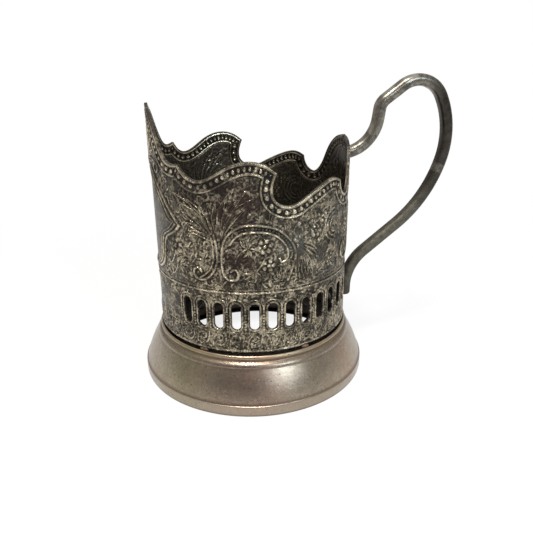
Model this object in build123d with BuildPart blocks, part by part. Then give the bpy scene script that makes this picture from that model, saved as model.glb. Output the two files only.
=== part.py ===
from build123d import *
from math import cos, floor, radians, sin, tan
import os

os.makedirs("parts", exist_ok=True)

# Sizes in millimetres. The axis of the glass is Z, the handle points along +X and the table is Z = 0.
sleeve_radius = 34.0
sleeve_wall = 0.7
sleeve_bore = sleeve_radius - sleeve_wall
seam_width = 0.4
seam_recess = 0.5

# Spun foot: deck with a raised seat for the glass, bead under the sleeve, trumpet flare and turned-in rest.
deck_height = 19.0
seat_step = 0.3
seat_clearance = 0.7
deck_hole_radius = 21.5
foot_radius = 41.5
foot_band = 3.9
foot_lip = 3.6
foot_sheet = 0.8
foot_corner = 0.6
bead_overhang = 1.05
bead_drop = 0.8
groove_overhang = 0.75
groove_drop = 1.9
flare_overhang = 1.45
flare_drop = 2.9
flare_sag = 0.5
band_step = 0.3

# Sleeve stands this far above the deck on its solder spots.
sleeve_gap = 1.0
sleeve_bottom = deck_height + sleeve_gap
spot_count = 6
spot_angle = 51.5
spot_length = 2.2
spot_width = 1.0

# Pierced arcade: upright slots with round ends, from the solid front panel round to the seam.
slot_width = 3.0
slot_height = 9.2
slot_rise = 12.9
slot_first = 41.5
slot_pitch = 10.0
slot_last = 172.0

# Half-round ribs pressed round the sleeve: one over the arcade, one at the lower edge.
rib_radius = 0.35
rib_over_slots = 3.7
rib_over_edge = 0.6

# Heights of the scalloped rim above the lower edge of the sleeve, and of its shoulder above the corner beside it.
shoulder_rise = 1.3
peak_height = 77.1
shelf_height = 60.5
nick_height = 60.9
valley_height = 56.6
crest_height = 62.6
curl_height = 59.0
hook_height = 48.9
corner_height = 53.8
shoulder_height = corner_height + shoulder_rise
notch_height = 48.3
rim_margin = 5.0

# Handle: rod of rounded section, a little flatter towards the hand, bent from its foot up to its neck.
rod_depth = 4.2
rod_width = 4.6
rod_inner_corner = 1.6
rod_outer_corner = 2.0
rod_gap = 0.55
rod_foot = 3.0
rod_foot_run = 3.1
rod_neck_run = 9.0
rod_bends = (
    (18.0, -51.7, 15.9),
    (47.0, 35.2, 0.0),
    (31.1, 44.4, 0.0),
    (10.2, 98.1, 7.5),
    (4.5, 46.7, 3.4),
    (13.3, -73.0, rod_neck_run),
)

# Solder at the two ends of the handle.
neck_gap = 0.3
neck_collar_skirt = 0.8
neck_collar_rise = 1.4
neck_collar_root = 1.5
neck_collar_taper = 20.0
pad_skirt = 0.5
pad_end_skirt = 0.8
tongue_cover = 6.6


def follow_rod(x, z, bends):
    """Return the end point and heading of a rod that starts upwards and takes each bend and straight in turn."""
    heading = 90.0
    for radius, turn, run in bends:
        side = 1 if turn > 0 else -1
        x -= side * radius * sin(radians(heading))
        z += side * radius * cos(radians(heading))
        heading += turn
        x += side * radius * sin(radians(heading)) + run * cos(radians(heading))
        z -= side * radius * cos(radians(heading)) - run * sin(radians(heading))
    return x, z, heading


rod_axis = sleeve_radius + rod_gap + rod_depth / 2
rod_bottom = sleeve_bottom + rod_foot
neck_x, neck_z, neck_heading = follow_rod(rod_axis, rod_bottom + rod_foot_run, rod_bends)
neck_height = neck_z + (sleeve_radius - neck_x) * tan(radians(neck_heading))
tongue_height = neck_height + tongue_cover - sleeve_bottom


def part_way(low, high, share):
    """Return the height a given share of the way from low to high."""
    return low + share * (high - low)


# Half of the rim as four curves from the front peak to the tongue behind the handle, in degrees and height.
rim_half = (
    (
        (0.0, peak_height),
        (12.3, part_way(shelf_height, peak_height, 0.80)),
        (20.2, part_way(shelf_height, peak_height, 0.49)),
        (25.6, part_way(shelf_height, peak_height, 0.23)),
        (30.7, part_way(shelf_height, peak_height, 0.05)),
        (36.2, shelf_height),
        (40.8, nick_height),
    ),
    (
        (40.8, nick_height),
        (44.2, part_way(valley_height, nick_height, 0.44)),
        (51.6, valley_height),
        (59.8, part_way(valley_height, crest_height, 0.23)),
        (69.1, part_way(valley_height, crest_height, 0.75)),
        (79.5, crest_height),
        (88.5, part_way(curl_height, crest_height, 0.67)),
        (94.0, curl_height),
    ),
    (
        (94.0, curl_height),
        (92.0, part_way(hook_height, curl_height, 0.65)),
        (92.6, part_way(hook_height, curl_height, 0.27)),
        (99.9, hook_height),
        (110.4, part_way(hook_height, shoulder_height, 0.32)),
        (121.3, part_way(hook_height, shoulder_height, 0.81)),
        (132.3, shoulder_height),
        (138.2, corner_height),
    ),
    (
        (138.2, corner_height),
        (139.5, part_way(notch_height, corner_height, 0.49)),
        (146.1, notch_height),
        (152.7, part_way(notch_height, tongue_height, 0.14)),
        (160.4, part_way(notch_height, tongue_height, 0.60)),
        (169.5, part_way(notch_height, tongue_height, 0.90)),
        (180.0, tongue_height),
    ),
)


def on_wall(radius, angle, height):
    """Return the point of the sleeve at an angle from the front peak and a height above its lower edge."""
    turn = radians(180 - angle)
    return Vector(radius * cos(turn), radius * sin(turn), sleeve_bottom + height)


# The whole rim at a radius inside the wall and at one outside it, and the cutting surface between them.
rims = []
for radius in (sleeve_bore - sleeve_wall, sleeve_radius + sleeve_wall):
    with BuildLine() as rim:
        for side in (1, -1):
            for points in rim_half:
                Spline(*[on_wall(radius, side * angle, height) for angle, height in points])
    rims.append(rim.wire())
rim_surface = Face.make_surface_from_curves(*rims)

slot_count = 1 + floor((slot_last - slot_first) / slot_pitch)
slot_angles = [side * (slot_first + slot_pitch * i) for i in range(slot_count) for side in (1, -1)]
slot_planes = [
    Plane(on_wall(sleeve_radius, angle, slot_rise), x_dir=(0, 0, 1), z_dir=on_wall(1, angle, -sleeve_bottom))
    for angle in slot_angles
]

rib_heights = (rib_over_edge, slot_rise + slot_height / 2 + rib_over_slots)
seam_cut = 4 * sleeve_wall

# Embossed sheet rolled to a tube, with the scalloped rim, the arcade and the open butt seam behind the handle.
with BuildPart() as sleeve:
    with BuildSketch(Plane.XY.offset(sleeve_bottom)):
        Circle(sleeve_radius)
        Circle(sleeve_bore, mode=Mode.SUBTRACT)
    extrude(amount=max(peak_height, crest_height, tongue_height) + rim_margin)
    split(bisect_by=rim_surface, keep=Keep.ALL)
    add(sleeve.solids().sort_by(Axis.Z)[0], mode=Mode.REPLACE)
    with BuildSketch(*slot_planes):
        SlotOverall(slot_height, slot_width)
    extrude(amount=-2 * sleeve_wall, both=True, mode=Mode.SUBTRACT)
    with BuildSketch(Plane.XZ):
        with Locations(*[(sleeve_radius, sleeve_bottom + height) for height in rib_heights]):
            Circle(rib_radius)
    revolve(axis=Axis.Z)
    with BuildSketch(Plane.XY.offset(sleeve_bottom)):
        with Locations((sleeve_radius, 0)):
            Rectangle(seam_cut, seam_width)
    extrude(amount=tongue_height + rim_margin, mode=Mode.SUBTRACT)
sleeve.part.label = "sleeve"
export_step(sleeve.part, "parts/sleeve.step")

# Thread of solder that fills the butt seam.
with BuildPart() as sleeve_seam_solder:
    with BuildSketch(Plane.XY.offset(sleeve_bottom)):
        Circle(sleeve_radius)
        Circle(sleeve_bore, mode=Mode.SUBTRACT)
        with Locations((sleeve_radius, 0)):
            Rectangle(seam_cut, seam_width, mode=Mode.INTERSECT)
    extrude(amount=tongue_height - seam_recess)
sleeve_seam_solder.part.label = "sleeve_seam_solder"
export_step(sleeve_seam_solder.part, "parts/sleeve_seam_solder.step")

# Outer skin of the spun foot from the deck to the rest, then back along the inside of the sheet.
bead_radius = sleeve_radius + bead_overhang
seat_radius = sleeve_bore - seat_clearance
seat_height = deck_height + seat_step
flare_top = (sleeve_radius + flare_overhang, deck_height - flare_drop)
flare_end = (foot_radius - band_step, foot_band)
flare_inner_top = (flare_top[0] - foot_sheet, flare_top[1])
flare_inner_end = (flare_end[0] - foot_sheet, flare_end[1])
with BuildPart() as base:
    with BuildSketch(Plane.XZ):
        with BuildLine():
            seat = Line((deck_hole_radius, seat_height), (seat_radius, seat_height))
            step = Line(seat @ 1, (seat_radius, deck_height))
            deck = Line(step @ 1, (bead_radius - bead_drop, deck_height))
            bead = TangentArc(deck @ 1, (bead_radius, deck_height - bead_drop), tangent=deck % 1)
            groove = ThreePointArc(
                bead @ 1,
                (sleeve_radius + groove_overhang, deck_height - groove_drop),
                flare_top,
            )
            SagittaArc(groove @ 1, flare_end, -flare_sag)
            ledge = Line(flare_end, (foot_radius, foot_band))
            Line(ledge @ 1, (foot_radius, foot_corner))
            corner = RadiusArc((foot_radius, foot_corner), (foot_radius - foot_corner, 0), foot_corner)
            rest = Line(corner @ 1, (foot_radius - foot_lip, 0))
            lip = Line(rest @ 1, (foot_radius - foot_lip, foot_sheet))
            hem = Line(lip @ 1, (flare_inner_end[0], foot_sheet))
            band = Line(hem @ 1, flare_inner_end)
            SagittaArc(flare_inner_end, flare_inner_top, flare_sag)
            neck = Line(flare_inner_top, (flare_inner_top[0], deck_height - foot_sheet))
            ceiling = Line(neck @ 1, (seat_radius - foot_sheet, deck_height - foot_sheet))
            rise = Line(ceiling @ 1, (seat_radius - foot_sheet, seat_height - foot_sheet))
            under_seat = Line(rise @ 1, (deck_hole_radius, seat_height - foot_sheet))
            Line(under_seat @ 1, seat @ 0)
        make_face()
    revolve(axis=Axis.Z)
base.part.label = "base"
export_step(base.part, "parts/base.step")

# Spots of solder between the deck and the lower edge of the sleeve.
spot_middle = (sleeve_radius + sleeve_bore) / 2
with BuildPart() as base_solder_spots:
    with BuildSketch(Plane.XY.offset(deck_height)):
        with PolarLocations(spot_middle, spot_count, start_angle=spot_angle):
            SlotOverall(spot_length, spot_width, rotation=90)
    extrude(amount=sleeve_gap)
base_solder_spots.part.label = "base_solder_spots"
export_step(base_solder_spots.part, "parts/base_solder_spots.step")

# Bent rod, its neck trimmed to the curve of the sleeve over a height that takes in the whole rod.
neck_trim = 3 * rod_depth
with BuildPart() as handle:
    with BuildLine(Plane.XZ) as rod_path:
        run = Line((rod_axis, rod_bottom), (rod_axis, rod_bottom + rod_foot_run))
        for radius, turn, length in rod_bends:
            run = JernArc(run @ 1, run % 1, radius, turn)
            if length:
                run = Line(run @ 1, run @ 1 + length * (run % 1))
    with BuildSketch(Plane.XY.offset(rod_bottom)) as rod_section:
        with Locations((rod_axis, 0)):
            Rectangle(rod_depth, rod_width)
        fillet(rod_section.vertices().group_by(Axis.X)[0], rod_inner_corner)
        fillet(rod_section.vertices().group_by(Axis.X)[-1], rod_outer_corner)
    sweep(path=rod_path.wire())
    with BuildSketch(Plane.XY.offset(neck_height)):
        Circle(sleeve_radius + neck_gap)
    extrude(amount=neck_trim, both=True, mode=Mode.SUBTRACT)
handle.part.label = "handle"
export_step(handle.part, "parts/handle.step")

# Collar of solder where the neck of the handle meets the tongue.
neck_way = (-cos(radians(neck_heading)), 0, -sin(radians(neck_heading)))
with BuildPart() as handle_solder_upper:
    with BuildSketch(Plane((sleeve_radius, 0, neck_height), x_dir=(0, 1, 0), z_dir=neck_way)):
        Circle(rod_width / 2 + neck_collar_skirt)
    extrude(amount=neck_collar_rise, taper=neck_collar_taper)
    extrude(faces().sort_by(Axis.X)[0], amount=neck_collar_root)
    with BuildSketch(Plane.XY.offset(neck_height)):
        Circle(sleeve_radius)
    extrude(amount=neck_trim, both=True, mode=Mode.SUBTRACT)
    add(handle.part, mode=Mode.SUBTRACT)
handle_solder_upper.part.label = "handle_solder_upper"
export_step(handle_solder_upper.part, "parts/handle_solder_upper.step")

# Pad of solder between the foot of the handle and the sleeve.
pad_height = rod_foot_run + 2 * pad_end_skirt
with BuildPart() as handle_solder_lower:
    with BuildSketch(Plane.YZ.offset(sleeve_bore)):
        with Locations((0, rod_bottom - pad_end_skirt + pad_height / 2)):
            RectangleRounded(rod_width + 2 * pad_skirt, pad_height, pad_skirt)
    extrude(amount=sleeve_wall + rod_gap)
    with BuildSketch(Plane.XY.offset(sleeve_bottom)):
        Circle(sleeve_radius)
    extrude(amount=slot_rise + slot_height, mode=Mode.SUBTRACT)
handle_solder_lower.part.label = "handle_solder_lower"
export_step(handle_solder_lower.part, "parts/handle_solder_lower.step")
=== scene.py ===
# %% [markdown]
# A tea glass holder stands on a pale table. Three pieces of silver-plated brass make it: an embossed
# sleeve that the glass drops into, a spun foot and a bent handle, held together with soft solder. The
# packed model gives the places and the sizes, and every surface below is worked out with numpy in
# millimetres and laid over that frame.

# %% Frame and tools
import math
import bpy
import numpy as np
from mathutils import Matrix, Vector


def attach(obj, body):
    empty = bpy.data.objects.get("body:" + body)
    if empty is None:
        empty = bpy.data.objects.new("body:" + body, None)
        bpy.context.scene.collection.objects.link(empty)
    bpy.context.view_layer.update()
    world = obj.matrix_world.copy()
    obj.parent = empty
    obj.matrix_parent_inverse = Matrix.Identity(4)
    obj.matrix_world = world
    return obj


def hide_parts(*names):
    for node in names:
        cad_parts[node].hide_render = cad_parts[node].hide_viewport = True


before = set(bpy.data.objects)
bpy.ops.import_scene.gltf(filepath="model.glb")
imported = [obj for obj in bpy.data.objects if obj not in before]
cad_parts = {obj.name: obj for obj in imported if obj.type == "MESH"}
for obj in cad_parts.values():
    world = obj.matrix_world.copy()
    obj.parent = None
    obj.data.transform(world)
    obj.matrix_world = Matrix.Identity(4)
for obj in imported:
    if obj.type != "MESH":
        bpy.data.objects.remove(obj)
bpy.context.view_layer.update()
scene = bpy.context.scene
print("solid model:", sorted(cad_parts))

# %% [markdown]
# A mesh is a list of points and a list of faces that name their corners. Filling those lists one face at
# a time is slow, so one helper takes whole arrays and hands them to Blender at once. Values such as the
# wear of the relief travel with the points as attributes, where the materials can read them.

# %% Mesh helpers
MM = 0.001
SHARP_EDGE = math.radians(40)


def make_object(name, points, quads, values):
    """Mesh object from (n, 3) points in millimetres, (m, 4) corner numbers and values at the points."""
    mesh = bpy.data.meshes.new(name)
    mesh.vertices.add(len(points))
    mesh.vertices.foreach_set("co", (points * MM).astype(np.float32).ravel())
    mesh.loops.add(quads.size)
    mesh.loops.foreach_set("vertex_index", quads.astype(np.int32).ravel())
    mesh.polygons.add(len(quads))
    mesh.polygons.foreach_set("loop_start", np.arange(0, quads.size, 4, dtype=np.int32))
    mesh.update(calc_edges=True)
    mesh.validate()
    mesh.shade_smooth()
    mesh.set_sharp_from_angle(angle=SHARP_EDGE)
    for key, value in values.items():
        layer = mesh.attributes.new(key, "FLOAT", "POINT")
        layer.data.foreach_set("value", np.broadcast_to(value, len(points)).astype(np.float32))
    thing = bpy.data.objects.new(name, mesh)
    scene.collection.objects.link(thing)
    print(f"{name}: {len(points)} points, {len(quads)} faces")
    return thing


def make_piece(name, node, slot, points, quads, **values):
    """A piece of the holder, which rides on the one body and stands for a solid; the finish slot is not
    used.
    """
    piece = make_object(name, points, quads, values)
    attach(piece, "root")
    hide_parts(node)
    return piece


def grid_quads(rows, columns, wrap=False):
    """Corner numbers of a grid of points stored row by row; with wrap, the last column meets the first."""
    across = columns if wrap else columns - 1
    row, column = np.meshgrid(np.arange(rows - 1), np.arange(across), indexing="ij")
    here = row * columns + column
    beside = row * columns + (column + 1) % columns
    return np.stack([here, beside, beside + columns, here + columns], -1).reshape(-1, 4)


print("a grid of 3 by 4 points has", len(grid_quads(3, 4)), "faces")

# %% [markdown]
# A few formulas come back in every piece: a soft step between two levels, the rounded top of a ridge, a
# soft patch round an angle and the length along a line.

# %% Formulas
def smooth_step(value, low, high):
    """0 below low, 1 above high, and 3t^2 - 2t^3 between them."""
    t = np.clip((value - low) / (high - low), 0, 1)
    return t * t * (3 - 2 * t)


def dome(share, power=0.7):
    """Rounded top: (1 - share^2) to a power, 1 in the middle and 0 from share 1 on."""
    return np.clip(1 - share**2, 0, 1) ** power


def lobe(angle, middle, width):
    """Soft patch round an angle in degrees: exp(-((angle - middle) / width)^2)."""
    return np.exp(-(((angle - middle) / width) ** 2))


def way_along(line):
    """Length from the first point of a flat line to each of its points."""
    return np.r_[0, np.cumsum(np.hypot(*np.diff(line, axis=0).T))]


print("soft step a quarter of the way:", smooth_step(0.25, 0, 1))

# %% [markdown]
# Drawn curves run through a few chosen points. A natural cubic spline gives the smoothest line
# through them: its bending is found from one set of linear equations, with no bending at the two ends.

# %% Smooth curves
def curve_through(points, spacing):
    """Natural cubic spline through the points, one cubic per span, read at an even spacing along it."""
    points = np.asarray(points, float)
    run = way_along(points)
    step = np.diff(run)
    inner = np.arange(1, len(points) - 1)
    system = np.eye(len(points))
    system[inner, inner - 1] = step[:-1]
    system[inner, inner] = 2 * (step[:-1] + step[1:])
    system[inner, inner + 1] = step[1:]
    slope = np.diff(points, axis=0) / step[:, None]
    change = np.zeros_like(points)
    change[inner] = 6 * (slope[1:] - slope[:-1])
    bend = np.linalg.solve(system, change)
    at = np.linspace(0, run[-1], max(8, int(run[-1] / spacing) * 6))
    span = np.clip(np.searchsorted(run, at, side="right") - 1, 0, len(step) - 1)
    a = ((run[span + 1] - at) / step[span])[:, None]
    b = 1 - a
    wide = (step[span] ** 2 / 6)[:, None]
    fine = a * points[span] + b * points[span + 1]
    fine += wide * ((a**3 - a) * bend[span] + (b**3 - b) * bend[span + 1])
    length = way_along(fine)
    even = np.linspace(0, length[-1], max(3, int(round(length[-1] / spacing)) + 1))
    return np.column_stack([np.interp(even, length, fine[:, 0]), np.interp(even, length, fine[:, 1])])


print("a bend of three points is read at", len(curve_through([(0, 0), (6, 2), (8, 8)], 0.5)), "points")

# %% [markdown]
# The sleeve is drawn flat, as the sheet was before it was rolled: s is the way round the tube from the
# front peak, z the height above the table. The left half mirrors the right one, so only half is drawn.
# The scalloped rim is four curves that meet in a pointed nick, a curled tip and a corner, ending at the
# tongue behind the handle. Its points are given by their angle round the tube in degrees, and their
# height. It could be drawn on the finished tube too, but on the flat sheet a distance is a plain
# distance, and rolling comes last, as it did in the workshop.

# %% The sleeve laid flat
RADIUS = 34.0
WALL = 0.7
BOTTOM = 20.0
PEAK = 97.1
HALF = math.pi * RADIUS
PER_DEGREE = HALF / 180
RIM_SPACING = 0.22

front_slope = [(0, PEAK), (12.3, 93.8), (20.2, 88.6), (25.6, 84.3), (30.7, 81.3), (36.2, 80.5), (40.8, 80.9)]
side_wave = [(40.8, 80.9), (44.2, 78.5), (51.6, 76.6), (59.8, 78.0), (69.1, 81.1), (79.5, 82.6)]
side_wave += [(88.5, 81.4), (94.0, 79.0)]
low_wave = [(94.0, 79.0), (92.0, 75.5), (92.6, 71.6), (99.9, 68.9), (110.4, 70.9), (121.3, 73.9)]
low_wave += [(132.3, 75.1), (138.2, 73.8)]
tongue = [(138.2, 73.8), (139.5, 71.0), (146.1, 68.3), (152.7, 70.6), (160.4, 78.1), (169.5, 83.0)]
tongue += [(180, 84.6)]
rim_parts = [
    curve_through([(angle * PER_DEGREE, z) for angle, z in part], RIM_SPACING)
    for part in (front_slope, side_wave, low_wave, tongue)
]
rim_line = np.vstack(rim_parts)
print("half rim:", round(sum(way_along(part)[-1] for part in rim_parts), 1), "mm long")

# %% Distance to the rim
FAR = 7.0
STRIP = 4.0
UNDER_RIM = 60.0
BATCH = 4_000_000


def rim_distance(s, z):
    """Distance from each flat point to the nearest one of the rim, in strips; beyond FAR it is FAR."""
    s = np.abs(s)
    gap = np.full(s.shape, FAR)
    for low in np.arange(-STRIP, HALF + STRIP, STRIP):
        mine = np.nonzero((s >= low) & (s < low + STRIP) & (z > UNDER_RIM))[0]
        near = rim_line[(rim_line[:, 0] > low - FAR) & (rim_line[:, 0] < low + STRIP + FAR)]
        for part in np.array_split(mine, len(mine) * len(near) // BATCH + 1):
            if len(part) and len(near):
                nearest = np.hypot(s[part, None] - near[:, 0], z[part, None] - near[:, 1]).min(1)
                gap[part] = np.minimum(nearest, FAR)
    return gap


print("front middle lies", round(rim_distance(np.zeros(1), np.full(1, PEAK - 5))[0], 2), "mm under the rim")

# %% [markdown]
# The ornament is chased rocaille: C-scrolls, leaf sprays, fans and rosettes. It is drawn as a height map
# of the flat half sheet. Each stroke is a ridge whose height falls off as a rounded top from its middle
# line, and where strokes cross, the higher one wins, as it does under a punch. Sculpting by hand could
# give the same look, but a map of strokes is changed by one number and comes out the same each run.

# %% Height map and strokes
STEP = 0.15
MAP_TOP = 98.0
map_s = np.arange(0, HALF + STEP, STEP)
map_z = np.arange(BOTTOM, MAP_TOP, STEP)
height = np.zeros((len(map_z), len(map_s)))


def press(path, width, rise, tip=1.0, belly=0.0, trench=0.0):
    """Raise a ridge along a smooth path: rise * dome(d / w), d to the path, w from width to tip * width and
    swelling by belly midway. A trench is a shallow groove on both sides, out to twice the half width."""
    line = curve_through(path, 0.2) if len(path) > 1 else np.asarray(path, float)
    way = np.linspace(0, 1, len(line))
    wide = width * (1 + (tip - 1) * way + belly * np.sin(np.pi * way))
    reach = wide.max() * (2 if trench else 1) + STEP
    low, high = line.min(0) - reach, line.max(0) + reach
    column = slice(*np.clip(np.searchsorted(map_s, (low[0], high[0])), 0, len(map_s)))
    row = slice(*np.clip(np.searchsorted(map_z, (low[1], high[1])), 0, len(map_z)))
    across = map_s[column][None, :, None] - line[:, 0]
    up = map_z[row][:, None, None] - line[:, 1]
    if across.size and up.size:
        share = np.sqrt(((across**2 + up**2) / wide**2).min(-1))
        cut = trench * np.clip(1 - np.abs(share - 1.4) / 0.6, 0, 1)
        here = height[row, column]
        here = here - np.minimum(cut, np.maximum(here, 0) + cut) * (share > 0.8)
        height[row, column] = np.where(share < 1, np.maximum(here, rise * dome(share)), here)


def tell(what):
    """Print how much of the flat sheet is raised by now."""
    print(f"{what}: highest {height.max():.2f} mm, {np.mean(height > 0.05):.0%} of the sheet raised")


print("height map:", height.shape, "samples")

# %% Motifs
LEAF_BOW = 0.06
FIBRES = 3


def blade(root, way, bow):
    """Three points of a leaf, from just off its root to its tip, bowed sideways midway."""
    return [root + 0.08 * way, root + 0.55 * way + bow * np.array([-way[1], way[0]]), root + way]


def spray(root, tips, width, rise, bend=0.12):
    """Slender leaves from one root to several tips, each drawn by its two edges, which bow apart midway;
    between two neighbouring leaves come finer fibres, shorter and lower by turns."""
    root, tips = np.asarray(root, float), np.asarray(tips, float)
    for k, at in enumerate(np.linspace(0, len(tips) - 1, (len(tips) - 1) * FIBRES + 1)):
        low = min(int(at), len(tips) - 2)
        way = tips[low] + (at - low) * (tips[low + 1] - tips[low]) - root
        if k % FIBRES == 0:
            for bow in (bend - LEAF_BOW, bend + LEAF_BOW):
                press(blade(root, way, bow), 0.28 * width, rise, 0.7, 0.3, 0.06)
        else:
            press(blade(root, way * (0.72 + 0.2 * (k % 2)), bend), 0.24 * width, 0.6 * rise, 0.5, 1.0)


def rosette(centre, ring, petals, petal, rise, turn=0.0):
    """Round petals set evenly on a ring, with a boss in the middle."""
    for k in range(petals):
        a = turn + 2 * math.pi * k / petals
        press([(centre[0] + ring * math.cos(a), centre[1] + ring * math.sin(a))], petal, rise, trench=0.1)
    press([centre], petal * 0.8, rise * 0.9)


def dots(path, pitch, radius, rise):
    """A row of small round bosses along a path."""
    for point in curve_through(path, pitch):
        press([point], radius, rise)


print("a leaf 10 mm long passes", blade(np.zeros(2), np.array([0, 10.0]), LEAF_BOW)[1], "midway")

# %% [markdown]
# A crowded ground comes first: many short comma strokes, scattered with a fixed seed, as filler leaves
# and punch marks between the main motifs. They are low, so that the scrolls stand clear above them. Each
# zone has its start beside the front, its lowest and highest place, the number of strokes and the longest
# one.

# %% Filler strokes
filler_zones = ((13, 43, 77, 1500, 3.2), (0, 21.2, 27.6, 900, 1.5), (0, 37.5, 41, 260, 1.3))
chance = np.random.default_rng(11)
for left, low, high, count, longest in filler_zones:
    for _ in range(count):
        start = np.array([chance.uniform(left, HALF - 1), chance.uniform(low, high)])
        lean = chance.uniform(0, 2 * math.pi)
        size = longest * chance.uniform(0.3, 1)
        bow = chance.uniform(-0.5, 0.5)
        width = chance.uniform(0.2, 0.38)
        rise = chance.uniform(0.08, 0.26)
        way = size * np.array([math.cos(lean), math.sin(lean)])
        middle = start + way / 2 + bow * np.array([-way[1], way[0]])
        press([start, middle, start + way], width, rise, 0.4, 0.5)
tell("filler")

# %% [markdown]
# The front carries a smooth cartouche framed by three parallel mouldings, with a shell under the peak.
# Beside it come a daisy on stems and a feathered spray. All of it is laid over the filler, so the field
# of the cartouche is cleared first.

# %% Front cartouche
CORNER_Z = 61.3
field_z = [43, 47.5, 53, 56.6, CORNER_Z, 66.8, 70, 78]
field_s = [6, 13, 14.4, 16, 21, 17, 14.5, 2]
cleared = map_s < np.interp(map_z, field_z, field_s)[:, None]
cleared &= ((map_z > field_z[0]) & (map_z < field_z[-1]))[:, None]
height[cleared] = 0

upper_frame = [(0, 78.2), (5, 77.4), (10.2, 74.2), (15, 70), (17.8, 66.8), (20.8, 63.8), (23, CORNER_Z)]
lower_frame = [(23, CORNER_Z), (20, 58.6), (16.4, 56.6), (14.6, 53), (13.2, 47.5), (9.6, 44.4), (4.5, 43.5)]
lower_frame += [(0, 43.3)]
for shift, width, rise in ((0.0, 0.62, 0.42), (-1.9, 0.5, 0.34), (-3.4, 0.34, 0.24)):
    for line in (upper_frame, lower_frame):
        s, z = np.transpose(line)
        moved_s = np.maximum(0, s + shift * np.where(s < 5, 0.25, 1))
        moved_z = z + shift * np.where(z > CORNER_Z, 0.55, -0.1)
        press(np.column_stack([moved_s, moved_z]), width, rise, trench=0.1)
spray((0, 79.5), [(0, 92.5), (2.6, 91.6), (5, 89.5), (7.1, 86.6), (8.6, 83.3), (9.3, 80)], 0.95, 0.4, 0.0)
press([(0, 79.3)], 1.9, 0.48)
press([(10.4, 79.6), (9.6, 77.8), (11.5, 76.6), (12.8, 78), (12.2, 79.4)], 0.45, 0.36)
dots([(11.6, 84.5), (14, 80.2), (16.5, 76.5)], 1.6, 0.5, 0.28)
tell("cartouche")

# %% Daisy and feathered spray
FEATHER_ROOT = (37.7, 57.4)
rosette((20.8, 54.3), 2.25, 7, 1.0, 0.42, 0.3)
press([(20.2, 51.4), (18.6, 48.6), (15.6, 46.2)], 0.4, 0.34, 0.7)
press([(21.4, 51.2), (21.2, 47.6), (19.4, 44.6)], 0.36, 0.3, 0.7)
spray((17.4, 47.4), [(14.8, 49.6), (16.4, 51.2), (19.6, 46.2), (18.4, 44.2)], 0.75, 0.3)
spray((22.4, 48.4), [(25.6, 50.6), (26.4, 48.2), (25.4, 45.6), (23.2, 44.2)], 0.8, 0.3)
low_feathers = [(21.2, 72), (23.6, 69.4), (24.6, 66.4), (25.6, 63), (27, 60.6), (26.8, 70.8)]
spray(FEATHER_ROOT, low_feathers, 0.95, 0.38, -0.07)
spray(FEATHER_ROOT, [(29.5, 68.4), (31.6, 70), (34.4, 70.2), (37, 70.6), (40.2, 71.6)], 0.85, 0.34, 0.05)
spray((38, 57.8), [(43, 75), (45, 72.2), (46.4, 74), (47.6, 71.4), (46.2, 68.6)], 0.8, 0.36, 0.1)
rosette((42.8, 71.4), 1.3, 5, 0.62, 0.34)
tell("daisy and spray")

# %% [markdown]
# Two C-scrolls stand back to back under the spray. The right one is a double line with a row of dots
# between, and two flowers on stems fill it. A trench beside each line lifts it clear of the crowded
# ground.

# %% C-scrolls
left_scroll = [(36.2, 60.2), (36.9, 56), (36.9, 51.4), (35.2, 47.6), (32, 45), (29.2, 45.4), (28.6, 47.6)]
left_scroll += [(30.2, 48.8), (31.3, 47.6)]
outer_line = [(59.2, 45.2), (60.3, 47.8), (61.4, 51.1), (61.8, 54.2), (60.8, 56.9), (58.7, 59.6), (56, 61.8)]
outer_line += [(52.9, 62.9), (49.5, 63.5), (45, 63.2), (41.8, 61.6), (39.7, 59.2), (38.5, 54.4)]
outer_line += [(38.5, 49.6), (39.9, 46.3), (42.2, 45.6), (43.6, 47.3), (42.7, 49.2), (41.3, 48.6)]
inner_line = [(41.2, 57.4), (42.8, 59.6), (45.6, 61.1), (50, 61.3), (53.4, 60.8), (56, 59.5), (57.9, 57.6)]
inner_line += [(59.1, 55.3), (59.3, 53.6), (58.4, 51.8), (57.1, 51.4), (56.6, 52.5)]
dotted_line = [(44, 61.9), (48, 62.5), (52.6, 62), (55.9, 60.7), (58.3, 58.7), (60.1, 56)]
dotted_line += [(60.6, 54), (60.1, 51.4)]
press(left_scroll, 0.46, 0.42, trench=0.14)
press([(s - 1.3, z + 0.5) for s, z in left_scroll[:5]], 0.36, 0.3)
press(outer_line, 0.5, 0.46, trench=0.14)
press(inner_line, 0.44, 0.42, trench=0.12)
dots(dotted_line, 1.05, 0.36, 0.26)
press([(36.8, 61.5), (37.8, 63.4), (39, 61.6)], 0.6, 0.42)
tell("scrolls")

# %% Flowers inside the scroll
rosette((51.8, 56.6), 1.75, 6, 0.86, 0.44, 0.2)
rosette((53, 50.4), 1.5, 5, 0.78, 0.4)
press([(50.2, 55.4), (46.8, 56.2), (43.9, 54.2), (42.6, 51.4)], 0.4, 0.34, 0.6)
press([(52.2, 54), (51, 51.2), (48.6, 48.2), (45.6, 46.2)], 0.4, 0.34, 0.6)
spray((46.8, 56.2), [(44.4, 58.8), (47, 59.4), (48.6, 58.2), (45.2, 53.4), (47.6, 53.6)], 0.8, 0.34)
spray((48.8, 48.6), [(46, 50.6), (48, 51.8), (50.6, 46.6), (48.6, 45), (45.4, 48.2)], 0.75, 0.32)
spray((57.5, 45), [(55.6, 48.6), (57, 49.4), (58.8, 48.8), (54.6, 46.4)], 0.75, 0.34)
spray((53.2, 48.4), [(51.2, 45.4), (53, 44.8), (55, 46)], 0.7, 0.3)
tell("flowers")

# %% [markdown]
# Towards the handle come a fan, loose berries, two small flowers and a shell of three arcs, and behind
# the handle one more C-scroll with a flower and a palmette on the seam.

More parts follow.
